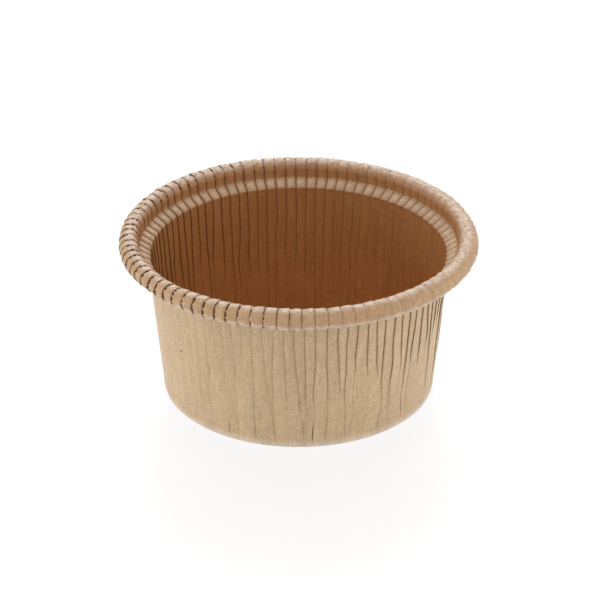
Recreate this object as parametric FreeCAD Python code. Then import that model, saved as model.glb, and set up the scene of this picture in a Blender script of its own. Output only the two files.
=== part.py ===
import FreeCAD, Part
import math
import os

# A paper baking cup pressed from one round sheet: flat base, pleated wall, ledge and rolled rim
# Millimetres and degrees, +Z up, origin at the middle of the base's underside

# Sizes over the whole cup
rim_diameter = 76.0
height = 36.2
base_diameter = 58.9
wall_draft = 4.9
heel_radius = 0.7

# The ledge at the top of the wall and the roll that it carries
roll_diameter = 4.2
ledge_drop = 5.4
ledge_rise = 1.5
lip_gap = 0.25

# The sheet and the knife pleats that take up its spare width
sheet = 0.2
pleat_count = 90
pleat_lap = 1.36
fold_height = 0.3
crease_mark = 0.03
first_fold = 0.5

# How far the pleats reach down the wall, as shares of its height, and how they fade and stray
mean_reach = 0.72
reach_spread = 0.42
reach_beat = 2.4
fade_length = 9.0
fold_wander = 0.5
wander_beat = 1.7

# How many steps from one crease ring to the next along the paper
heel_steps = 2
wall_steps = 4
hidden_roll_steps = 4
roll_steps = 10

# Worked out from the sizes above
pitch = 360.0 / pleat_count
rim_radius = rim_diameter / 2
base_radius = base_diameter / 2
roll_radius = roll_diameter / 2
wall_top = height - ledge_drop
wall_middle_radius = base_radius + wall_top / 2 * math.tan(math.radians(wall_draft))
lap_angle = math.degrees(pleat_lap / wall_middle_radius)
middle_share = (1 + lap_angle / pitch) / 2
half_wall = sheet / 2 + fold_height * middle_share


def direction(angle):
    return math.cos(math.radians(angle)), math.sin(math.radians(angle))


# A station is a place on the middle of the paper: radius, height, the way to its outer side, its scale
def station(radius, level, side, stretch=1.0):
    along, up = direction(side)
    return radius, level, along * stretch, up * stretch


def corner(radius, level, side_before, side_after):
    half_turn = (side_after - side_before) / 2
    return station(radius, level, side_before + half_turn, 1 / math.cos(math.radians(half_turn)))


def wall_radius(level):
    slope = math.radians(wall_draft)
    return base_radius + level * math.tan(slope) - half_wall / math.cos(slope)


def heel_centre():
    bend = heel_radius - sheet / 2
    return wall_radius(heel_radius) - bend / math.cos(math.radians(wall_draft))


# The edge of the flat base, where the crease marks end: they lie in the plane of the sheet there
def base_edge(level):
    return station(heel_centre(), level, 0)


# The heel: a quarter bend from the base up into the wall
def heel_stations():
    bend = heel_radius - sheet / 2
    centre = heel_centre()
    stations = []
    for step in range(1, heel_steps + 1):
        side = -90 + (90 - wall_draft) * step / heel_steps
        along, up = direction(side)
        stations.append(station(centre + bend * along, heel_radius + bend * up, side))
    return stations


# The straight wall, up to just under the ledge
def wall_stations():
    stations = []
    for step in range(1, wall_steps):
        level = heel_radius + (wall_top - heel_radius) * step / wall_steps
        stations.append(station(wall_radius(level), level, -wall_draft))
    return stations


# The ledge turns out from the wall and then up into the roll
def ledge_stations():
    riser = rim_radius - roll_diameter + half_wall
    slope = math.degrees(math.atan2(ledge_rise, riser - wall_radius(wall_top)))
    inner = corner(wall_radius(wall_top), wall_top, -wall_draft, slope - 90)
    outer = corner(riser, wall_top + ledge_rise, slope - 90, 0)
    return [inner, outer]


# The roll goes up, out and down, and ends a little way off the riser
def roll_stations(steps):
    centre = rim_radius - roll_radius
    bend = roll_radius - half_wall
    riser_face = rim_radius - roll_diameter + 2 * half_wall
    lip = -math.degrees(math.acos((riser_face + lip_gap - centre) / roll_radius))
    stations = []
    for step in range(steps + 1):
        angle = 180 + (lip - 180) * step / steps
        along, up = direction(angle)
        level = height - roll_radius + bend * up
        stations.append(station(centre + bend * along, level, angle + 180))
    return stations


# How far a pleat's edge stands proud at a level: whole near the rim, and down to a pressed mark at its end
def step_height(pleat, level):
    reach = mean_reach + reach_spread * math.sin(reach_beat * pleat)
    end = wall_top - reach * (wall_top - heel_radius)
    share = max(0.0, min(1.0, (level - end) / fade_length))
    return max(crease_mark, fold_height * share)


# How far a pleat has strayed sideways at a level, as an angle
def stray(pleat, level):
    share = max(0.0, 1 - level / wall_top)
    return math.degrees(fold_wander * math.sin(wander_beat * pleat) * share / wall_middle_radius)


# One closed line round the cup on one face of the paper, with a low and a high corner at each fold
def crease_ring(place, outer_face, half_sheet):
    radius, level, along, up = place
    way = 1 if outer_face else -1
    points = []
    for pleat in range(pleat_count):
        depth = step_height(pleat, level)
        angle = first_fold + pleat * pitch + stray(pleat, level)
        rises = [half_sheet + depth * (middle_share - 1), half_sheet + depth * middle_share]
        if not outer_face:
            angle += lap_angle
            rises.reverse()
        x, y = direction(angle)
        for rise in rises:
            reach = radius + way * along * rise
            points.append(FreeCAD.Vector(reach * x, reach * y, level + way * up * rise))
    return points


def flat_face(corners):
    return Part.Face(Part.makePolygon(corners + corners[:1]))


# The band of paper between two crease rings: each panel is bent along one diagonal, so it is flat
def panels(first, second):
    faces = []
    for here, corner_here in enumerate(first):
        there = (here + 1) % len(first)
        faces.append(flat_face([corner_here, first[there], second[there]]))
        faces.append(flat_face([corner_here, second[there], second[here]]))
    return faces


# The bands sewn edge to edge, with the base's underside and the floor closing the two ends
def folded_solid(rings):
    faces = [flat_face(rings[0]), flat_face(rings[-1])]
    for first, second in zip(rings, rings[1:]):
        faces += panels(first, second)
    skin = Part.makeCompound(faces)
    skin.sewShape()
    return Part.makeSolid(skin.Shells[0])


# The whole cup: rings up the outer face to the lip, and back down the inner face to the floor
def baking_cup():
    wall = heel_stations() + wall_stations() + ledge_stations()
    outer_face = wall + roll_stations(hidden_roll_steps)
    inner_face = wall + roll_stations(roll_steps)
    rings = [crease_ring(base_edge(0), True, 0)]
    rings += [crease_ring(place, True, sheet / 2) for place in outer_face]
    rings += [crease_ring(place, False, sheet / 2) for place in reversed(inner_face)]
    rings.append(crease_ring(base_edge(sheet), False, 0))
    return folded_solid(rings)


os.makedirs("parts", exist_ok=True)
cup = baking_cup()
cup.exportStep("parts/baking_cup.step")
print("baking_cup", cup.isValid(), "faces", len(cup.Faces), "volume", round(cup.Volume, 1))
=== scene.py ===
# %% [markdown]
# # A pleated paper baking cup
# The real cup starts as one flat disc of brown baking paper. A press pushes the disc into a cup shape, and
# the spare width round the wall is laid into 90 small knife pleats. Then the edge of the disc is turned out
# over a ledge and rolled into a hollow ring. Everything that the eye notices comes from that one folded
# sheet, so this lesson models the fold itself and then gives the paper its finish.

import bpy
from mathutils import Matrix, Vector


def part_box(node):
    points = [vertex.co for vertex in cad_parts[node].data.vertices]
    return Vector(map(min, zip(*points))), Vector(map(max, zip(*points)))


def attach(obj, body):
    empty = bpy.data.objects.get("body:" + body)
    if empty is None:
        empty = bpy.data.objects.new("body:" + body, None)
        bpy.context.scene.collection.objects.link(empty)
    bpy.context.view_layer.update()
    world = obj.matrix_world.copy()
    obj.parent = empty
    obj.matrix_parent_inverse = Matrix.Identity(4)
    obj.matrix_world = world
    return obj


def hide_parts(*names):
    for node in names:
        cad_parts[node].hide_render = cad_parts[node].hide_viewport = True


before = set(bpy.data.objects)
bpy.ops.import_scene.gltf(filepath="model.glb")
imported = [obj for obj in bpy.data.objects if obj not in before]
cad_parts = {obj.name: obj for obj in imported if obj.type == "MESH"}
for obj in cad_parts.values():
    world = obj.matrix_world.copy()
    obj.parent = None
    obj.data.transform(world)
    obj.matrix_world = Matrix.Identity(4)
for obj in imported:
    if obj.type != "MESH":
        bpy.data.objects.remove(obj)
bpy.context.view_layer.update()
print("nodes in the frame:", sorted(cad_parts))

# %% [markdown]
# ## Sizes
# The rim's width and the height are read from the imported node, so the detailed cup can't drift away from
# it. The other sizes are those of the real cup, written in millimetres and turned to metres by MM.

# %% Name the sizes of the cup
import math
import random
from collections import namedtuple

import bmesh
import bpy
from mathutils import Vector, noise

MM = 0.001
low_corner, high_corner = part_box("baking_cup")
HEIGHT = round(high_corner.z / MM, 1) * MM
RIM_RADIUS = round((high_corner.x - low_corner.x) / 2 / MM, 1) * MM
BASE_RADIUS = 29.45 * MM
WALL_DRAFT = 4.9
HEEL = 0.7 * MM
ROLL = 2.1 * MM
LEDGE_DROP = 5.4 * MM
LEDGE_RISE = 1.5 * MM
LIP_GAP = 0.25 * MM
BEND = 0.6 * MM
SHEET = 0.2 * MM
PLEATS = 90
PLEAT_LAP = 2.53
FOLD = 0.3 * MM
FIRST_FOLD = 0.5
PITCH = 360 / PLEATS
WALL_TOP = HEIGHT - LEDGE_DROP
# A crest stands this share of a step off the paper's middle line, because the folds of the two faces lie
# one lap apart
MIDDLE_SHARE = (1 + PLEAT_LAP / PITCH) / 2
HALF_WALL = SHEET / 2 + FOLD * MIDDLE_SHARE
print(f"cup {2 * RIM_RADIUS / MM:.1f} mm over the rim, {HEIGHT / MM:.1f} mm high")

# %% [markdown]
# ## The section of the paper
# Cut the cup from rim to centre and the paper draws one line: out along the base, round the heel, up the
# wall, out over the ledge, up, and round into the roll. The line could be drawn by hand as a list of
# points, but then nothing would follow when a size changes. Here each stretch is a formula, and every
# station on it knows which way the paper's outer side faces. Both faces of the paper use the same line,
# with rows close together where the eye looks and far apart inside the roll.


# %% Make the stations of each stretch: radius, level and the way to the outer side in degrees
def way(angle):
    return math.cos(math.radians(angle)), math.sin(math.radians(angle))


def wall_radius(level):
    slope = math.radians(WALL_DRAFT)
    return BASE_RADIUS + level * math.tan(slope) - HALF_WALL / math.cos(slope)


def arc(radius, level, bend, sides, steps):
    """Stations round a bend. A negative bend has its centre on the paper's outer side."""
    first, last = sides
    stations = []
    for step in range(steps + 1):
        side = first + (last - first) * step / steps
        along, up = way(side)
        stations.append((radius + bend * along, level + bend * up, side))
    return stations


def rounded_corner(radius, level, sides, steps):
    first, last = sides
    bend = math.copysign(BEND, last - first)
    along, up = way((first + last) / 2)
    reach = bend / math.cos(math.radians((last - first) / 2))
    return arc(radius - reach * along, level - reach * up, bend, sides, steps)


def heel_centre():
    return wall_radius(HEEL) - (HEEL - SHEET / 2) / math.cos(math.radians(WALL_DRAFT))


def base_stations(steps):
    return [(heel_centre() * step / steps, SHEET / 2, -90) for step in range(steps)]


def heel_stations(steps):
    return arc(heel_centre(), HEEL, HEEL - SHEET / 2, (-90, -WALL_DRAFT), steps)


def wall_stations(steps):
    levels = [HEEL + (WALL_TOP - BEND - HEEL) * step / steps for step in range(1, steps + 1)]
    return [(wall_radius(level), level, -WALL_DRAFT) for level in levels]


def ledge_stations(corner_steps):
    riser = RIM_RADIUS - 2 * ROLL + HALF_WALL
    slope = math.degrees(math.atan2(LEDGE_RISE, riser - wall_radius(WALL_TOP)))
    inner = rounded_corner(wall_radius(WALL_TOP), WALL_TOP, (-WALL_DRAFT, slope - 90), corner_steps)
    outer = rounded_corner(riser, WALL_TOP + LEDGE_RISE, (slope - 90, 0), corner_steps)
    crest = tuple((before + after) / 2 for before, after in zip(inner[-1], outer[0]))
    return inner + [crest] + outer


def roll_stations(steps):
    centre = RIM_RADIUS - ROLL
    riser_face = RIM_RADIUS - 2 * ROLL + 2 * HALF_WALL
    lip = -math.degrees(math.acos((riser_face + LIP_GAP - centre) / ROLL))
    return arc(centre, HEIGHT - ROLL, HALF_WALL - ROLL, (360, lip + 180), steps)


print(f"the wall's middle is {2 * wall_radius(WALL_TOP) / MM:.1f} mm across at its top")

# %% List the rows of both faces, from the base's underside to the lip and back to the floor
BASE_ROWS, HEEL_ROWS = 2, 3
OUTER_ROWS = (22, 2, 5)
INNER_ROWS = (20, 3, 34)
LEDGE_TURN = 30
Row = namedtuple("Row", "radius level side face ledge rolled")


def ledge_share(radius, side):
    """Grows from 0 on the wall to 1 on the ledge, round the corner between them."""
    if radius > wall_radius(WALL_TOP) + BEND:
        return 1.0
    return max(0.0, min(1.0, (-side - WALL_DRAFT) / LEDGE_TURN))


def face_rows(face, row_counts):
    """The rows of one face. Rolled grows from 0 on the riser to 1 at the lip."""
    wall_rows, corner_rows, roll_rows = row_counts
    lower = base_stations(BASE_ROWS) + heel_stations(HEEL_ROWS)
    plain = [Row(*place, face, 0.0, 0.0) for place in lower]
    turned = wall_stations(wall_rows) + ledge_stations(corner_rows)
    turned = [Row(*place, face, ledge_share(place[0], place[2]), 0.0) for place in turned]
    roll = roll_stations(roll_rows)
    roll = [Row(*place, face, 1.0, (number + 1) / len(roll)) for number, place in enumerate(roll)]
    return plain + turned + roll


rows = face_rows(1, OUTER_ROWS) + face_rows(-1, INNER_ROWS)[::-1]
print(len(rows), "rows along the paper")

# %% [markdown]
# ## How one pleat lies
# Seen from above, a knife pleat is a Z: the paper runs along, folds back under its own edge and runs on.
# What shows on each face is a long panel whose edge overhangs the next panel, with a dark slot under it.
# A bump map could fake the line but not the overhang, which makes the cup's pleats dark on one side and
# almost invisible on the other. So ten columns of the mesh are given to each pleat, and five of them
# crowd round the folded edge.

# %% Name the ten points of a pleat: share of the width past its edge, height of its step, and painted shade
Point = namedtuple("Point", "share rise shade")
# On the wall the edge is a sharp step, and the panel slopes back under the next edge
WALL_PLEAT = (
    Point(0.17, 0.10, 1.0),
    Point(0.03, 0.28, 0.9),
    Point(0.00, 0.60, 0.4),
    Point(0.03, 0.88, 0.1),
    Point(0.10, 1.00, 0.0),
    Point(0.33, 0.84, 0.0),
    Point(0.56, 0.58, 0.0),
    Point(0.78, 0.32, 0.0),
    Point(0.95, 0.10, 0.1),
    Point(1.06, 0.00, 0.9),
)
# On the ledge the pleat is pressed to a rounded rib
LEDGE_PLEAT = (
    Point(0.01, 0.00, 0.3),
    Point(0.02, 0.15, 0.25),
    Point(0.04, 0.45, 0.1),
    Point(0.10, 0.78, 0.0),
    Point(0.20, 1.00, 0.0),
    Point(0.38, 1.08, 0.0),
    Point(0.58, 0.98, 0.0),
    Point(0.78, 0.70, 0.0),
    Point(0.91, 0.30, 0.0),
    Point(0.98, 0.02, 0.15),
)
# Along the roll a gap stands open between two panels
ROLL_PLEAT = (
    Point(0.13, -0.10, 1.0),
    Point(0.05, 0.00, 1.0),
    Point(0.00, 0.35, 1.0),
    Point(0.02, 0.80, 0.4),
    Point(0.08, 1.04, 0.0),
    Point(0.28, 1.00, 0.0),
    Point(0.50, 0.92, 0.0),
    Point(0.70, 0.80, 0.0),
    Point(0.83, 0.52, 0.0),
    Point(0.89, -0.05, 1.0),
)
# Where the crimping pinches that gap, the panels touch
PINCHED_PLEAT = (
    Point(0.06, 0.25, 0.6),
    Point(0.02, 0.40, 0.4),
    Point(0.00, 0.60, 0.1),
    Point(0.02, 0.84, 0.0),
    *ROLL_PLEAT[4:8],
    Point(0.94, 0.65, 0.0),
    Point(1.01, 0.45, 0.15),
)
# Low on the wall the step has flattened, and only the mark of the crease is left
MARK_SHARES = (0.00, 0.03, 0.06, 0.10, 0.16, 0.33, 0.55, 0.75, 0.91, 0.97)
MARK_SHADES = (1.0, 1.0, 0.9, 0.3, 0.0, 0.0, 0.0, 0.0, 0.0, 0.8)
COLUMNS = len(WALL_PLEAT)
print(COLUMNS, "columns of mesh in each pleat")

# %% [markdown]
# ## Where the pleats go
# Near the rim all 90 pleats are even. Further down the wall is narrower than the spare paper needs, so
# the press lets most of them die out at a third of the height, and some lean towards a neighbour as they
# end. About every third one goes on to the base as a thin crease that wanders. The ones that the
# photograph shows are named, and a seeded random choice fills in the unseen sides.

# %% Choose the pleats that go on to the base
BASE_END = 0.5
SEEN_INSIDE = (12, 16, 20, 25, 29, 32)
# For each pleat seen outside: how many degrees it leans at its end, and the level of its end in millimetres
SEEN_LEAN_AND_END = {
    51: (1.0, 7), 53: (-1.0, 8), 56: (1.8, 5), 57: (-0.3, 5), 60: (0.0, BASE_END), 62: (1.0, 6),
    63: (-0.2, BASE_END), 64: (4.2, BASE_END), 65: (-1.0, 12.5), 66: (0.8, 9), 67: (3.8, BASE_END),
    69: (-0.8, BASE_END), 71: (1.4, 13), 72: (0.1, BASE_END), 73: (-0.4, 17), 75: (1.8, 13.6),
    76: (0.0, BASE_END), 78: (0.9, 14.7), 79: (-0.6, BASE_END), 80: (-1.2, 14), 82: (1.5, 15.3),
    83: (2.0, BASE_END), 84: (-0.7, 17), 85: (-0.9, 18),
}
UNSEEN_PLEATS = ((35, 53), (86, 98))
NEXT_LONG_PLEAT = (2, 3, 3, 4)
dice = random.Random(90)


def choose_long_pleats():
    chosen = [number for number, seen in SEEN_LEAN_AND_END.items() if seen[1] == BASE_END]
    chosen += SEEN_INSIDE
    for number, last in UNSEEN_PLEATS:
        while number <= last:
            chosen.append(number % PLEATS)
            number += dice.choice(NEXT_LONG_PLEAT)
    return sorted(chosen)


long_pleats = choose_long_pleats()
print(len(long_pleats), "of", PLEATS, "pleats go on to the base")

# %% Give each pleat its place, its height and its end
ANGLE_STRAY = 0.22
HEIGHT_RANGE = (0.8, 1.1)
LONG_FADE, SHORT_FADE = 17 * MM, 6 * MM
LONG_LEAN, SHORT_LEAN = 0.9, 0.8
LEAN_TO_LONG_PLEAT = (0.3, 1.6)
SHORT_END_RANGE = (9.0, 17.0)
SEED_RANGE = 90
Pleat = namedtuple("Pleat", "angle height end fade lean seed")


def distance_round(number, other):
    """How many pleats lie from one to the other, the short way round."""
    return (other - number + PLEATS / 2) % PLEATS - PLEATS / 2


def make_pleat(number):
    angle = FIRST_FOLD + number * PITCH + dice.uniform(-ANGLE_STRAY, ANGLE_STRAY)
    height = dice.uniform(*HEIGHT_RANGE)
    seed = dice.uniform(0, SEED_RANGE)
    fade = LONG_FADE if number in long_pleats else SHORT_FADE
    if number in SEEN_LEAN_AND_END:
        lean, end = SEEN_LEAN_AND_END[number]
        return Pleat(angle, height, end * MM, fade, lean, seed)
    if number in long_pleats:
        lean = dice.uniform(-LONG_LEAN, LONG_LEAN)
        return Pleat(angle, height, BASE_END * MM, fade, lean, seed)
    gap = min((distance_round(number, other) for other in long_pleats), key=abs)
    lean = dice.uniform(0.0, SHORT_LEAN) + (dice.uniform(*LEAN_TO_LONG_PLEAT) if gap == 1 else 0.0)
    return Pleat(angle, height, dice.uniform(*SHORT_END_RANGE) * MM, fade, lean, seed)


pleats = [make_pleat(number) for number in range(PLEATS)]
print(f"the pleats end {min(p.end for p in pleats) / MM:.1f} to {max(p.end for p in pleats) / MM:.1f} mm up")


# %% Say where a pleat is at a level, how high its step is, and how strong its crease
DRIFT_TOP = 28 * MM
WAVER_LENGTH = 6 * MM
WAVER_RANGE = (0.2, 1.1)
CREASE_FADE = 3 * MM
IRONED_TOP, IRONED_FADE = 20 * MM, 10 * MM
IRONED_SHARE, IRONED_SPREAD = 0.45, 1.5
# Each use of a pleat's noise reads a track of its own, so that they don't all swing together
WAVER_TRACK, CREASE_TRACK, GAP_TRACK = 0.0, 5.0, 7.0


def smooth(share):
    share = max(0.0, min(1.0, share))
    return share * share * (3 - 2 * share)


def mix(first, second, share):
    return first + (second - first) * share


def pleat_angle(number, level):
    turns, number = divmod(number, PLEATS)
    pleat = pleats[number]
    drift = smooth((DRIFT_TOP - level) / (DRIFT_TOP - pleat.end))
    waver = noise.noise((pleat.seed, level / WAVER_LENGTH, WAVER_TRACK)) * mix(*WAVER_RANGE, drift)
    return turns * 360 + pleat.angle + pleat.lean * drift + waver


def pleat_height(number, level):
    pleat = pleats[number]
    return pleat.height * smooth((level - pleat.end) / pleat.fade)


def pleat_crease(number, level, ironed):
    """Long creases come and go low on the wall, where the press has ironed them."""
    pleat = pleats[number]
    come_and_go = noise.noise((pleat.seed, level / WAVER_LENGTH, CREASE_TRACK))
    worn = smooth((IRONED_TOP - level) / IRONED_FADE)
    worn *= smooth(IRONED_SHARE - IRONED_SPREAD * come_and_go)
    return smooth((level - pleat.end) / CREASE_FADE) * (1 - ironed * worn)


for level in (WALL_TOP, 10 * MM):
    print(f"pleat 64 is at {pleat_angle(64, level):.1f} degrees at {level / MM:.0f} mm")

# %% [markdown]
# ## Spin the section and lay the pleats
# The section is a chain of vertices, and bmesh's spin turns it through a whole circle with one step for
# each column. That gives a plain smooth cup with closed skins. Then each vertex moves to its place in its
# own pleat: sideways round the cup, and in or out along the paper's own side.


# %% Spin the plain cup
POLE_RADIUS, MERGE_DISTANCE = 0.01 * MM, 0.001 * MM


def spin_section(section_rows, columns):
    cup = bmesh.new()
    row_of = cup.verts.layers.int.new("row")
    chain = []
    for number, row in enumerate(section_rows):
        along, up = way(row.side)
        half = row.face * SHEET / 2
        vertex = cup.verts.new((row.radius + half * along, 0, row.level + half * up))
        vertex[row_of] = number
        chain.append(vertex)
    edges = [cup.edges.new(pair) for pair in zip(chain, chain[1:])]
    bmesh.ops.spin(cup, geom=chain + edges, cent=(0, 0, 0), axis=(0, 0, 1), angle=math.tau,
                   steps=columns, use_merge=True, use_normal_flip=False, use_duplicate=False)
    poles = [v for v in cup.verts if math.hypot(v.co.x, v.co.y) < POLE_RADIUS]
    bmesh.ops.remove_doubles(cup, verts=poles, dist=MERGE_DISTANCE)
    bmesh.ops.recalc_face_normals(cup, faces=cup.faces)
    return cup, row_of


cup, row_of = spin_section(rows, PLEATS * COLUMNS)
print("spun", len(cup.verts), "vertices and", len(cup.faces), "faces")


# %% Say how the paper's face strays from the plain cup: soft dents all over and a rough roll
DENT_LENGTH, DENT_DEPTH = 14 * MM, 0.18 * MM
DENT_FADE = 6 * MM
WRINKLE_LENGTH, WRINKLE_DEPTH = 1.6 * MM, 0.06 * MM
WRINKLE_STRETCH = 8
WRINKLE_FADE = 3 * MM
WRINKLE_HIGH, WRINKLE_HIGH_FADE, WRINKLE_HIGH_LOSS = 10 * MM, 12 * MM, 0.6
CRIMP_WIDTH, CRIMP_DEPTH = 0.8 * MM, 0.19 * MM
CRIMP_BLEND = 4
ROLL_LENGTH = 12 * MM


def dent(place, turn, rolled):
    """Soft dents, fine upright wrinkles low on the wall, and the crimps across the roll."""
    soft = DENT_DEPTH * noise.noise(place / DENT_LENGTH)
    if rolled > 0:
        x, y = way(turn)
        across = Vector((x, y, 0.0)) * (RIM_RADIUS / CRIMP_WIDTH)
        across.z = rolled * ROLL_LENGTH / CRIMP_WIDTH
        return soft + CRIMP_DEPTH * smooth(rolled * CRIMP_BLEND) * noise.noise(across)
    upright = Vector((place.x, place.y, place.z / WRINKLE_STRETCH)) / WRINKLE_LENGTH
    high = smooth((place.z - WRINKLE_HIGH) / WRINKLE_HIGH_FADE)
    low = smooth((place.z - HEEL / 2) / WRINKLE_FADE) * (1 - WRINKLE_HIGH_LOSS * high)
    return soft * smooth(place.z / DENT_FADE) + WRINKLE_DEPTH * low * noise.noise(upright)


# %% Say how far a gap opens along the roll, and how the ten points lie at any place on the paper
GAP_LENGTH = 0.6 * MM
GAP_LOOSE, GAP_SWING = 0.5, 0.6
GAP_SHARE, GAP_GROWTH, GAP_PINCH = 0.3, 0.5, 2.6
TOP_OF_ROLL = 0.2
FOLD_BLEND = 12


def gap_opening(number, rolled):
    """The crimping pinches a gap here and there, and all the gaps on the cup's right side."""
    pleat = pleats[number % PLEATS]
    pinch = noise.noise((pleat.seed, rolled * ROLL_LENGTH / GAP_LENGTH, GAP_TRACK))
    loose = smooth(GAP_LOOSE - GAP_SWING * way(pleat.angle)[0])
    over_the_top = smooth((rolled - TOP_OF_ROLL) / TOP_OF_ROLL)
    return loose * smooth(GAP_SHARE + GAP_GROWTH * over_the_top + GAP_PINCH * pinch)


def mix_points(first, second, share):
    return Point(*(mix(before, after, share) for before, after in zip(first, second)))


def pleat_section(number, point, height, row):
    """The share, rise and shade of one of the ten points at a place on the paper."""
    flat = mix_points(WALL_PLEAT[point], LEDGE_PLEAT[point], row.ledge)
    if row.rolled > 0:
        crimped = mix_points(PINCHED_PLEAT[point], ROLL_PLEAT[point], gap_opening(number, row.rolled))
        flat = mix_points(flat, crimped, smooth(row.rolled * FOLD_BLEND))
    folded = smooth(2 * height)
    share = mix(MARK_SHARES[point], flat.share, folded)
    return share, flat.rise, mix(MARK_SHADES[point], flat.shade, folded)


# %% Work out the angle, height and crease of every pleat on one row of the mesh
LEDGE_HEIGHT, ROLL_HEIGHT = 1.8, 1.3
LEAST_WIDTH = 0.7
OUTER_SHADES = (1.0, 0.8)
OUTER_SHADE_LEVEL = 8 * MM
OUTER_IRONED, INNER_IRONED = 0.6, 0.15
RISER_TURN_FROM, RISER_TURN = -70, 60


def riser_share(row):
    """Grows from 0 on the ledge to 1 on the riser, and stays 1 along the roll."""
    if row.radius < wall_radius(WALL_TOP) + BEND:
        return 0.0
    return 1.0 if row.rolled > 0 else smooth((row.side - RISER_TURN_FROM) / RISER_TURN)


def row_values(row):
    level = min(row.level, WALL_TOP)
    on_base = smooth((row.radius - heel_centre()) / (HEEL / 2))
    scale = on_base * mix(1.0, mix(LEDGE_HEIGHT, ROLL_HEIGHT, riser_share(row)), row.ledge)
    angles = [pleat_angle(number, level) for number in range(PLEATS + 1)]
    for number in range(1, PLEATS):
        angles[number] = max(angles[number], angles[number - 1] + LEAST_WIDTH)
    heights = [pleat_height(number, level) * scale for number in range(PLEATS)]
    ironed = OUTER_IRONED if row.face > 0 else INNER_IRONED
    if row.face > 0:
        on_base *= mix(*OUTER_SHADES, smooth((level - OUTER_SHADE_LEVEL) / OUTER_SHADE_LEVEL))
    creases = [pleat_crease(number, level, ironed) * on_base for number in range(PLEATS)]
    return angles, heights, creases


# %% Say how a vertex finds its pleat, and where it goes
def lay_pleats(cup, row_of):
    crease_mark_and_shade_of = cup.verts.layers.float.new("crease")
    brown_and_shade_of = cup.verts.layers.float.new("brown_and_shade")
    painted_highlight_of = cup.verts.layers.float.new("painted_highlight")
    values = [row_values(row) for row in rows]
    for vertex in cup.verts:
        row = rows[vertex[row_of]]
        angles, heights, creases = values[vertex[row_of]]
        turn = math.degrees(math.atan2(vertex.co.y, vertex.co.x)) % 360
        number, point = divmod(round(turn / PITCH * COLUMNS) % (PLEATS * COLUMNS), COLUMNS)
        point = point if row.face > 0 else COLUMNS - 1 - point
        start, end = angles[number], angles[number + 1]
        fold = number if row.face > 0 else (number + 1) % PLEATS
        height = heights[fold]
        share, rise, shade = pleat_section(fold, point, height, row)
        angle = start + share * (end - start)
        if row.face < 0:
            angle = end + PLEAT_LAP - share * (end - start)
        offset = SHEET / 2 + FOLD * height * (rise - 1 + MIDDLE_SHARE)
        along, up = way(row.side)
        x, y = way(angle)
        place = Vector((row.radius * x, row.radius * y, row.level))
        offset = row.face * offset + dent(place, angle, row.rolled)
        vertex.co = place + offset * Vector((along * x, along * y, up))
        # Painted shade in the slots under the pleats' edges, and a dark mark where a fold has flattened
        vertex[crease_mark_and_shade_of] = shade * creases[fold]
        # The inside's brown, with painted shade added in hollows, gaps and corners
        vertex[brown_and_shade_of] = brown_and_shade(row, rise)
        # Painted highlights on the crests, and painted bounce light along the lip and the foot
        vertex[painted_highlight_of] = painted_highlight(row, rise, place)


# %% [markdown]
# ## Which parts of the face are browned, and where light and shade are painted
# The inside of the cup is a deep brown and its outside a pale tan. The colour doesn't change at a line:
# it pales over the ledge and round the roll. Painted highlights pale the crests of the folds there, and
# painted shade browns the hollows between them. Painted bounce light from the table pales the roll's
# lower edge and the foot of the wall.
# A painted image could hold that, but it would have to be drawn again for every change of the folds.
# Vertex attributes are worked out from the rows and the folds themselves, and the material reads them.


# %% Say how browned the paper is, 0 for the outside's tan and 1 for the inside's brown, plus painted shade
RISER_BROWN, ROLL_BROWN = 0.88, 0.43
ROLL_PALE_FROM, ROLL_PALE_OVER = 0.08, 0.32
# Painted shade browns the roll's gaps below this rise
GAP_SHADE, GAP_SHADE_RISE = 0.9, 0.35
# The ledge's ribs are pale, and painted shade browns the hollows between them
RIB_BROWN, RIB_HOLLOW_SHADE, RIB_CREST = 0.22, 0.3, 0.95
# Painted shade in the concave corner between the wall and the ledge
CORNER_SHADE, CORNER_TURN = 0.4, 50
SCALLOP_TURN, SCALLOP_RISE = 50, 0.7
RISER_SCALLOP_TURN, RISER_SCALLOP_RISE = 40, 0.8
# The riser's brown, and painted shade where the ledge meets the riser under the roll
RISER_BROWN_AND_FOOT_SHADE, RISER_FOOT_SHADE_SHARE = 0.9, 0.6


def brown_and_shade(row, rise):
    if row.face > 0:
        return 0.0
    if row.rolled > 0:
        paled = smooth((row.rolled - ROLL_PALE_FROM) / ROLL_PALE_OVER)
        return mix(RISER_BROWN, ROLL_BROWN, paled) + GAP_SHADE * max(0.0, GAP_SHADE_RISE - rise)
    rib = RIB_BROWN + RIB_HOLLOW_SHADE * max(0.0, RIB_CREST - rise)
    if row.radius < wall_radius(WALL_TOP) + BEND:
        turned = -row.side - WALL_DRAFT + SCALLOP_TURN * (rise - SCALLOP_RISE)
        return mix(1.0, rib + CORNER_SHADE, smooth(turned / CORNER_TURN) * row.ledge)
    turned = row.side - RISER_TURN_FROM + RISER_SCALLOP_TURN * (RISER_SCALLOP_RISE - rise)
    foot = RISER_FOOT_SHADE_SHARE * (row.level > WALL_TOP + LEDGE_RISE - BEND)
    return mix(rib, RISER_BROWN_AND_FOOT_SHADE, max(smooth(turned / RISER_TURN), foot))


# %% Say where light is painted: bounce light along the foot and the roll's lower edge, highlights on crests
# Painted bounce light from the table along the foot of the outer wall
FOOT_BOUNCE_LIGHT, FOOT_BOUNCE_LIGHT_TOP, FOOT_BOUNCE_LIGHT_FADE = 0.75, 1.3 * MM, 1.0 * MM
# Painted highlights on the crests of the ledge's ribs
RIB_HIGHLIGHT = 0.15
RIB_RISE, RIB_RISE_SPREAD = 0.3, 0.4
RIB_TURN_FROM, RIB_TURN = 20, 30
TOP_FROM, TOP_FROM_FADE = 0.12, 0.12
TOP_TO, TOP_TO_FADE = 0.46, 0.14
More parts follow.
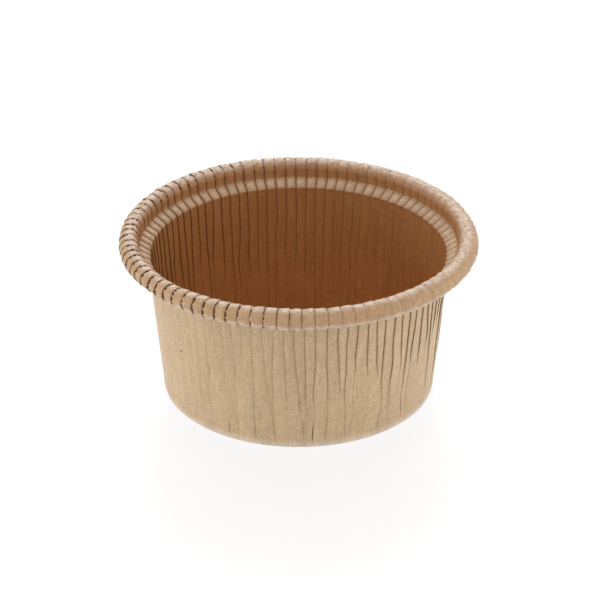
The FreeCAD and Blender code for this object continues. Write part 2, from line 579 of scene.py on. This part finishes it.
# Painted highlights in patches on the crests along the top of the roll
CREST_HIGHLIGHT, CREST_HIGHLIGHT_SIZE = 0.65, 0.7 * MM
CREST_HIGHLIGHT_SHARE, CREST_HIGHLIGHT_SPREAD = 0.65, 1.1
# Painted bounce light from the table along the roll's lower edge, with a wavy border
LIP_BOUNCE_LIGHT, LIP_LIGHT_SIZE = 0.42, 1.4 * MM
LIP_LIGHT_FROM, LIP_LIGHT_TO, LIP_LIGHT_FADE = 0.64, 0.86, 0.05


def painted_highlight(row, rise, place):
    if row.face > 0:
        low = smooth((FOOT_BOUNCE_LIGHT_TOP - row.level) / FOOT_BOUNCE_LIGHT_FADE)
        return FOOT_BOUNCE_LIGHT * low * smooth((row.radius - heel_centre()) / (HEEL / 2))
    if row.rolled == 0:
        turned = smooth((-row.side - RIB_TURN_FROM) / RIB_TURN)
        return RIB_HIGHLIGHT * row.ledge * smooth((rise - RIB_RISE) / RIB_RISE_SPREAD) * turned
    top = smooth((row.rolled - TOP_FROM) / TOP_FROM_FADE) * smooth((TOP_TO - row.rolled) / TOP_TO_FADE)
    patchy = smooth(CREST_HIGHLIGHT_SHARE + CREST_HIGHLIGHT_SPREAD * noise.noise(place / CREST_HIGHLIGHT_SIZE))
    crest = top * smooth(rise) * patchy
    wave = LIP_LIGHT_FADE * noise.noise(place / LIP_LIGHT_SIZE)
    lip_lit = smooth((row.rolled - LIP_LIGHT_FROM - wave) / LIP_LIGHT_FADE)
    lip_lit *= smooth((LIP_LIGHT_TO - row.rolled) / LIP_LIGHT_FADE)
    return max(CREST_HIGHLIGHT * crest, LIP_BOUNCE_LIGHT * lip_lit)


# %% Lay the pleats
lay_pleats(cup, row_of)
print("laid", PLEATS, "pleats, and wrote crease, browning and rubbing on", len(cup.verts), "vertices")

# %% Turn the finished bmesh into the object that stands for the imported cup
mesh = bpy.data.meshes.new("paper_cup")
cup.to_mesh(mesh)
cup.free()
mesh.shade_smooth()
paper_cup = bpy.data.objects.new("paper_cup", mesh)
bpy.context.scene.collection.objects.link(paper_cup)
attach(paper_cup, "root")
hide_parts("baking_cup")
print("paper_cup has", sum(len(face.vertices) - 2 for face in mesh.polygons), "triangles")

# %% [markdown]
# ## The finish of the paper
# The paper is unbleached kraft, pressed smooth between rollers and siliconed for baking. That gives the
# eye a matte brown with a dry satin gleam, soft mottling where fibres gather, and short fine streaks. Its
# folds are dark with painted shade in their slots. A photograph of paper could be wrapped round the cup,
# but it would stretch at the roll, so the patterns here are noise at sizes measured in millimetres.


# %% Turn a colour as written into Blender's linear values
def colour(code):
    values = [int(code[i:i + 2], 16) / 255 for i in (1, 3, 5)]
    linear = [v / 12.92 if v <= 0.04045 else ((v + 0.055) / 1.055) ** 2.4 for v in values]
    return (*linear, 1.0)


# %% Add one node with its settings, its values and its links
def add_node(tree, kind, inputs=None, **settings):
    node = tree.nodes.new(kind)
    for name, value in settings.items():
        setattr(node, name, value)
    for socket, value in (inputs or {}).items():
        if isinstance(value, bpy.types.NodeSocket):
            tree.links.new(value, node.inputs[socket])
        else:
            node.inputs[socket].default_value = value
    return node


# %% Draw the paper's own patterns, each with its size and how far it lightens or darkens the paper
# Real fibres are about 0.03 mm wide, which is too fine to show, so the grain is drawn ten times as coarse
GRAIN_SIZE, GRAIN_STRENGTH = 0.3 * MM, 0.24
MOTTLE_SIZE, MOTTLE_STRENGTH = 1.5 * MM, 0.08
STREAK_WIDTH, STREAK_STRENGTH = 0.45 * MM, 0.09
SMUDGE_WIDTH, SMUDGE_STRENGTH = 2.5 * MM, 0.08
FINE_DETAIL, SOFT_DETAIL = 3.0, 2.0
STREAK_STRETCH = 0.06
NOISE_LOW, NOISE_HIGH = 0.25, 0.75


def paper_shade(tree, place):
    """How light or dark the paper is from its grain, its mottling and its upright streaks, about 1."""
    upright = add_node(tree, "ShaderNodeMapping",
                       {"Vector": place, "Scale": (1.0, 1.0, STREAK_STRETCH)}).outputs["Vector"]
    patterns = ((place, GRAIN_SIZE, FINE_DETAIL, GRAIN_STRENGTH),
                (place, MOTTLE_SIZE, FINE_DETAIL, MOTTLE_STRENGTH),
                (upright, STREAK_WIDTH, SOFT_DETAIL, STREAK_STRENGTH),
                (upright, SMUDGE_WIDTH, SOFT_DETAIL, SMUDGE_STRENGTH))
    shade = None
    for vector, size, detail, strength in patterns:
        field = add_node(tree, "ShaderNodeTexNoise", {"Vector": vector, "Scale": 1 / size, "Detail": detail})
        spread = add_node(tree, "ShaderNodeMapRange",
                          {"Value": field.outputs["Fac"], "From Min": NOISE_LOW, "From Max": NOISE_HIGH,
                           "To Min": 1 - strength, "To Max": 1 + strength})
        if shade is None:
            shade = spread.outputs["Result"]
        else:
            shade = add_node(tree, "ShaderNodeMath", {0: shade, 1: spread.outputs["Result"]},
                             operation="MULTIPLY").outputs["Value"]
    return shade


# %% Paint light and shade on the browned face: lighter towards the base, darker towards the rim
PAINTED_LIGHT_RANGE = (1.22, 0.84)


def painted_light_gradient(tree, place, browned):
    level = add_node(tree, "ShaderNodeSeparateXYZ", {"Vector": place}).outputs["Z"]
    pale, dark = PAINTED_LIGHT_RANGE
    painted_light = add_node(tree, "ShaderNodeMapRange", {"Value": level, "From Max": HEIGHT, "To Min": pale,
                                                   "To Max": dark}).outputs["Result"]
    return add_node(tree, "ShaderNodeMix", {"Factor": browned, "A": 1.0, "B": painted_light}).outputs["Result"]


# %% Colour the paper: tan outside, browned inside, painted highlights, painted shade and crease marks
PAPER_TAN = "#C6AA85"
PAPER_BROWN = "#AA7341"
# The colour of the painted highlights and the painted bounce light
PAINTED_HIGHLIGHT_COLOUR = "#E9D9CB"
# The colour of the painted shade in the pleats' slots and of the marks of flattened creases
CREASE_MARK_AND_SHADE = "#522A0C"
SPECK_COLOUR = "#2C2019"
SPECK_PLACE = (-24.40 * MM, -18.86 * MM, 17.3 * MM)
SPECK_SIZE = 0.26 * MM


def blend_colour(tree, factor, first, second):
    return add_node(tree, "ShaderNodeMix", {"Factor": factor, 6: first, 7: second},
                    data_type="RGBA").outputs[2]


def paper_colour(tree, place):
    def value_of(name):
        return add_node(tree, "ShaderNodeAttribute", attribute_name=name).outputs["Fac"]

    faces = blend_colour(tree, value_of("brown_and_shade"), colour(PAPER_TAN), colour(PAPER_BROWN))
    faces = blend_colour(tree, value_of("painted_highlight"), faces, colour(PAINTED_HIGHLIGHT_COLOUR))
    # The paper's own grain and mottling, times painted light and shade on the browned face
    shade = add_node(tree, "ShaderNodeMath", {0: paper_shade(tree, place),
                                              1: painted_light_gradient(tree, place, value_of("brown_and_shade"))},
                     operation="MULTIPLY")
    shaded = add_node(tree, "ShaderNodeVectorMath", {0: faces, "Scale": shade.outputs["Value"]},
                      operation="SCALE")
    lined = blend_colour(tree, value_of("crease"), shaded.outputs["Vector"], colour(CREASE_MARK_AND_SHADE))
    apart = add_node(tree, "ShaderNodeVectorMath", {0: place, 1: SPECK_PLACE}, operation="DISTANCE")
    speck = add_node(tree, "ShaderNodeMath", {0: apart.outputs["Value"], 1: SPECK_SIZE},
                     operation="LESS_THAN")
    return blend_colour(tree, speck.outputs["Value"], lined, colour(SPECK_COLOUR))


# %% Make the calendered kraft paper: a soft gleam on its pressed face, and none in an open crease
BUMP_DEPTH, BUMP_STRENGTH, BUMP_DETAIL = 0.08 * MM, 0.5, 4.0
SATIN, OPEN_CREASE = 0.45, 1.0
PAPER_IOR = 1.5


def make_paper():
    material = bpy.data.materials.new("calendered_kraft_paper")
    material.use_nodes = True
    tree = material.node_tree
    tree.nodes.clear()
    place = add_node(tree, "ShaderNodeTexCoord").outputs["Object"]
    grain = add_node(tree, "ShaderNodeTexNoise",
                     {"Vector": place, "Scale": 1 / GRAIN_SIZE, "Detail": BUMP_DETAIL})
    bump = add_node(tree, "ShaderNodeBump", {"Height": grain.outputs["Fac"], "Strength": BUMP_STRENGTH,
                                             "Distance": BUMP_DEPTH})
    crease = add_node(tree, "ShaderNodeAttribute", attribute_name="crease").outputs["Fac"]
    roughness = add_node(tree, "ShaderNodeMapRange",
                         {"Value": crease, "To Min": SATIN, "To Max": OPEN_CREASE})
    shader = add_node(tree, "ShaderNodeBsdfPrincipled",
                      {"Base Color": paper_colour(tree, place), "Roughness": roughness.outputs["Result"],
                       "IOR": PAPER_IOR, "Normal": bump.outputs["Normal"]})
    add_node(tree, "ShaderNodeOutputMaterial", {"Surface": shader.outputs["BSDF"]})
    return material


paper = make_paper()
paper_cup.data.materials.append(paper)
print(paper.name, "has", len(paper.node_tree.nodes), "nodes")

# %% [markdown]
# ## The table, the light and the camera
# A plain white table and a white surround light the cup softly from everywhere, as in a light tent. One
# wide soft lamp behind the cup gives its inner wall a gradient, and two small ones at the sides shape the
# pleats. A single hard lamp would be simpler, but its shadows would hide half of the folds. The camera
# stands about half a metre away and looks down on the cup at 28 degrees through a long lens.

# %% Make the table, which shows white and keeps the cup's soft shadow
TABLE_HALF = 1.5
TABLE_WHITE_SHARE = 0.85
TABLE_GLOSS, TABLE_ROUGHNESS = 0.6, 0.5
TABLE_COLOUR = (0.92, 0.92, 0.92, 1.0)
PURE_WHITE = (1.0, 1.0, 1.0, 1.0)


def make_table():
    surface = bmesh.new()
    bmesh.ops.create_grid(surface, x_segments=1, y_segments=1, size=TABLE_HALF)
    mesh = bpy.data.meshes.new("table")
    surface.to_mesh(mesh)
    surface.free()
    table = bpy.data.objects.new("table", mesh)
    bpy.context.scene.collection.objects.link(table)
    material = bpy.data.materials.new("white_table")
    material.use_nodes = True
    tree = material.node_tree
    tree.nodes.clear()
    path = add_node(tree, "ShaderNodeLightPath")
    share = add_node(tree, "ShaderNodeMath", {0: path.outputs["Is Camera Ray"], 1: TABLE_WHITE_SHARE},
                     operation="MULTIPLY")
    matte = add_node(tree, "ShaderNodeBsdfDiffuse", {"Color": TABLE_COLOUR})
    gloss = add_node(tree, "ShaderNodeBsdfGlossy", {"Color": PURE_WHITE, "Roughness": TABLE_ROUGHNESS})
    lit = add_node(tree, "ShaderNodeMixShader",
                   {0: TABLE_GLOSS, 1: matte.outputs["BSDF"], 2: gloss.outputs["BSDF"]})
    white = add_node(tree, "ShaderNodeEmission", {"Color": PURE_WHITE, "Strength": 1.0})
    mixed = add_node(tree, "ShaderNodeMixShader",
                     {0: share.outputs["Value"], 1: lit.outputs["Shader"], 2: white.outputs["Emission"]})
    add_node(tree, "ShaderNodeOutputMaterial", {"Surface": mixed.outputs["Shader"]})
    table.data.materials.append(material)
    return table


table = make_table()
print(table.name, "is", 2 * TABLE_HALF, "m wide")

# %% Make the white surround and the soft lamps
SURROUND = 0.85
# Each lamp: its name, its place and its size in metres, and its power in watts
LAMPS = (
    ("back_softbox", (0.0, 0.75, 0.65), 0.7, 2.9),
    ("left_softbox", (-0.8, -0.05, 0.14), 0.25, 1.3),
    ("right_softbox", (0.8, -0.05, 0.14), 0.25, 0.9),
)


def make_surround():
    world = bpy.data.worlds.new("white_surround")
    world.use_nodes = True
    tree = world.node_tree
    tree.nodes.clear()
    path = add_node(tree, "ShaderNodeLightPath")
    seen = path.outputs["Is Camera Ray"]
    for other in ("Is Glossy Ray", "Is Transmission Ray"):
        seen = add_node(tree, "ShaderNodeMath", {0: seen, 1: path.outputs[other]},
                        operation="MAXIMUM").outputs["Value"]
    strength = add_node(tree, "ShaderNodeMapRange", {"Value": seen, "To Min": SURROUND, "To Max": 1.0})
    glow = add_node(tree, "ShaderNodeBackground",
                    {"Color": PURE_WHITE, "Strength": strength.outputs["Result"]})
    add_node(tree, "ShaderNodeOutputWorld", {"Surface": glow.outputs["Background"]})
    bpy.context.scene.world = world


def add_lamp(name, place, size, power):
    lamp = bpy.data.lights.new(name, "AREA")
    lamp.shape = "SQUARE"
    lamp.size = size
    lamp.energy = power
    holder = bpy.data.objects.new(name, lamp)
    holder.location = place
    holder.rotation_euler = (Vector((0, 0, HEIGHT / 2)) - Vector(place)).to_track_quat("-Z", "Y").to_euler()
    bpy.context.scene.collection.objects.link(holder)
    print(f"{name}: {size} m square, {power} W")


make_surround()
for lamp_settings in LAMPS:
    add_lamp(*lamp_settings)

# %% Place the camera as the photograph has it
ELEVATION = 28.15
DISTANCE = 520 * MM
TARGET = Vector((0.08 * MM, 0.0, 19.52 * MM))
LENS, SENSOR_WIDTH = 145.8, 36.0
camera_data = bpy.data.cameras.new("camera")
camera_data.lens = LENS
camera_data.sensor_width = SENSOR_WIDTH
camera = bpy.data.objects.new("camera", camera_data)
along, up = way(ELEVATION)
camera.location = TARGET + DISTANCE * Vector((0, -along, up))
camera.rotation_euler = (TARGET - camera.location).to_track_quat("-Z", "Y").to_euler()
bpy.context.scene.collection.objects.link(camera)
bpy.context.scene.camera = camera
bpy.context.scene.view_settings.view_transform = "Standard"
print(f"the camera stands {camera.location.z / MM:.0f} mm above the table")
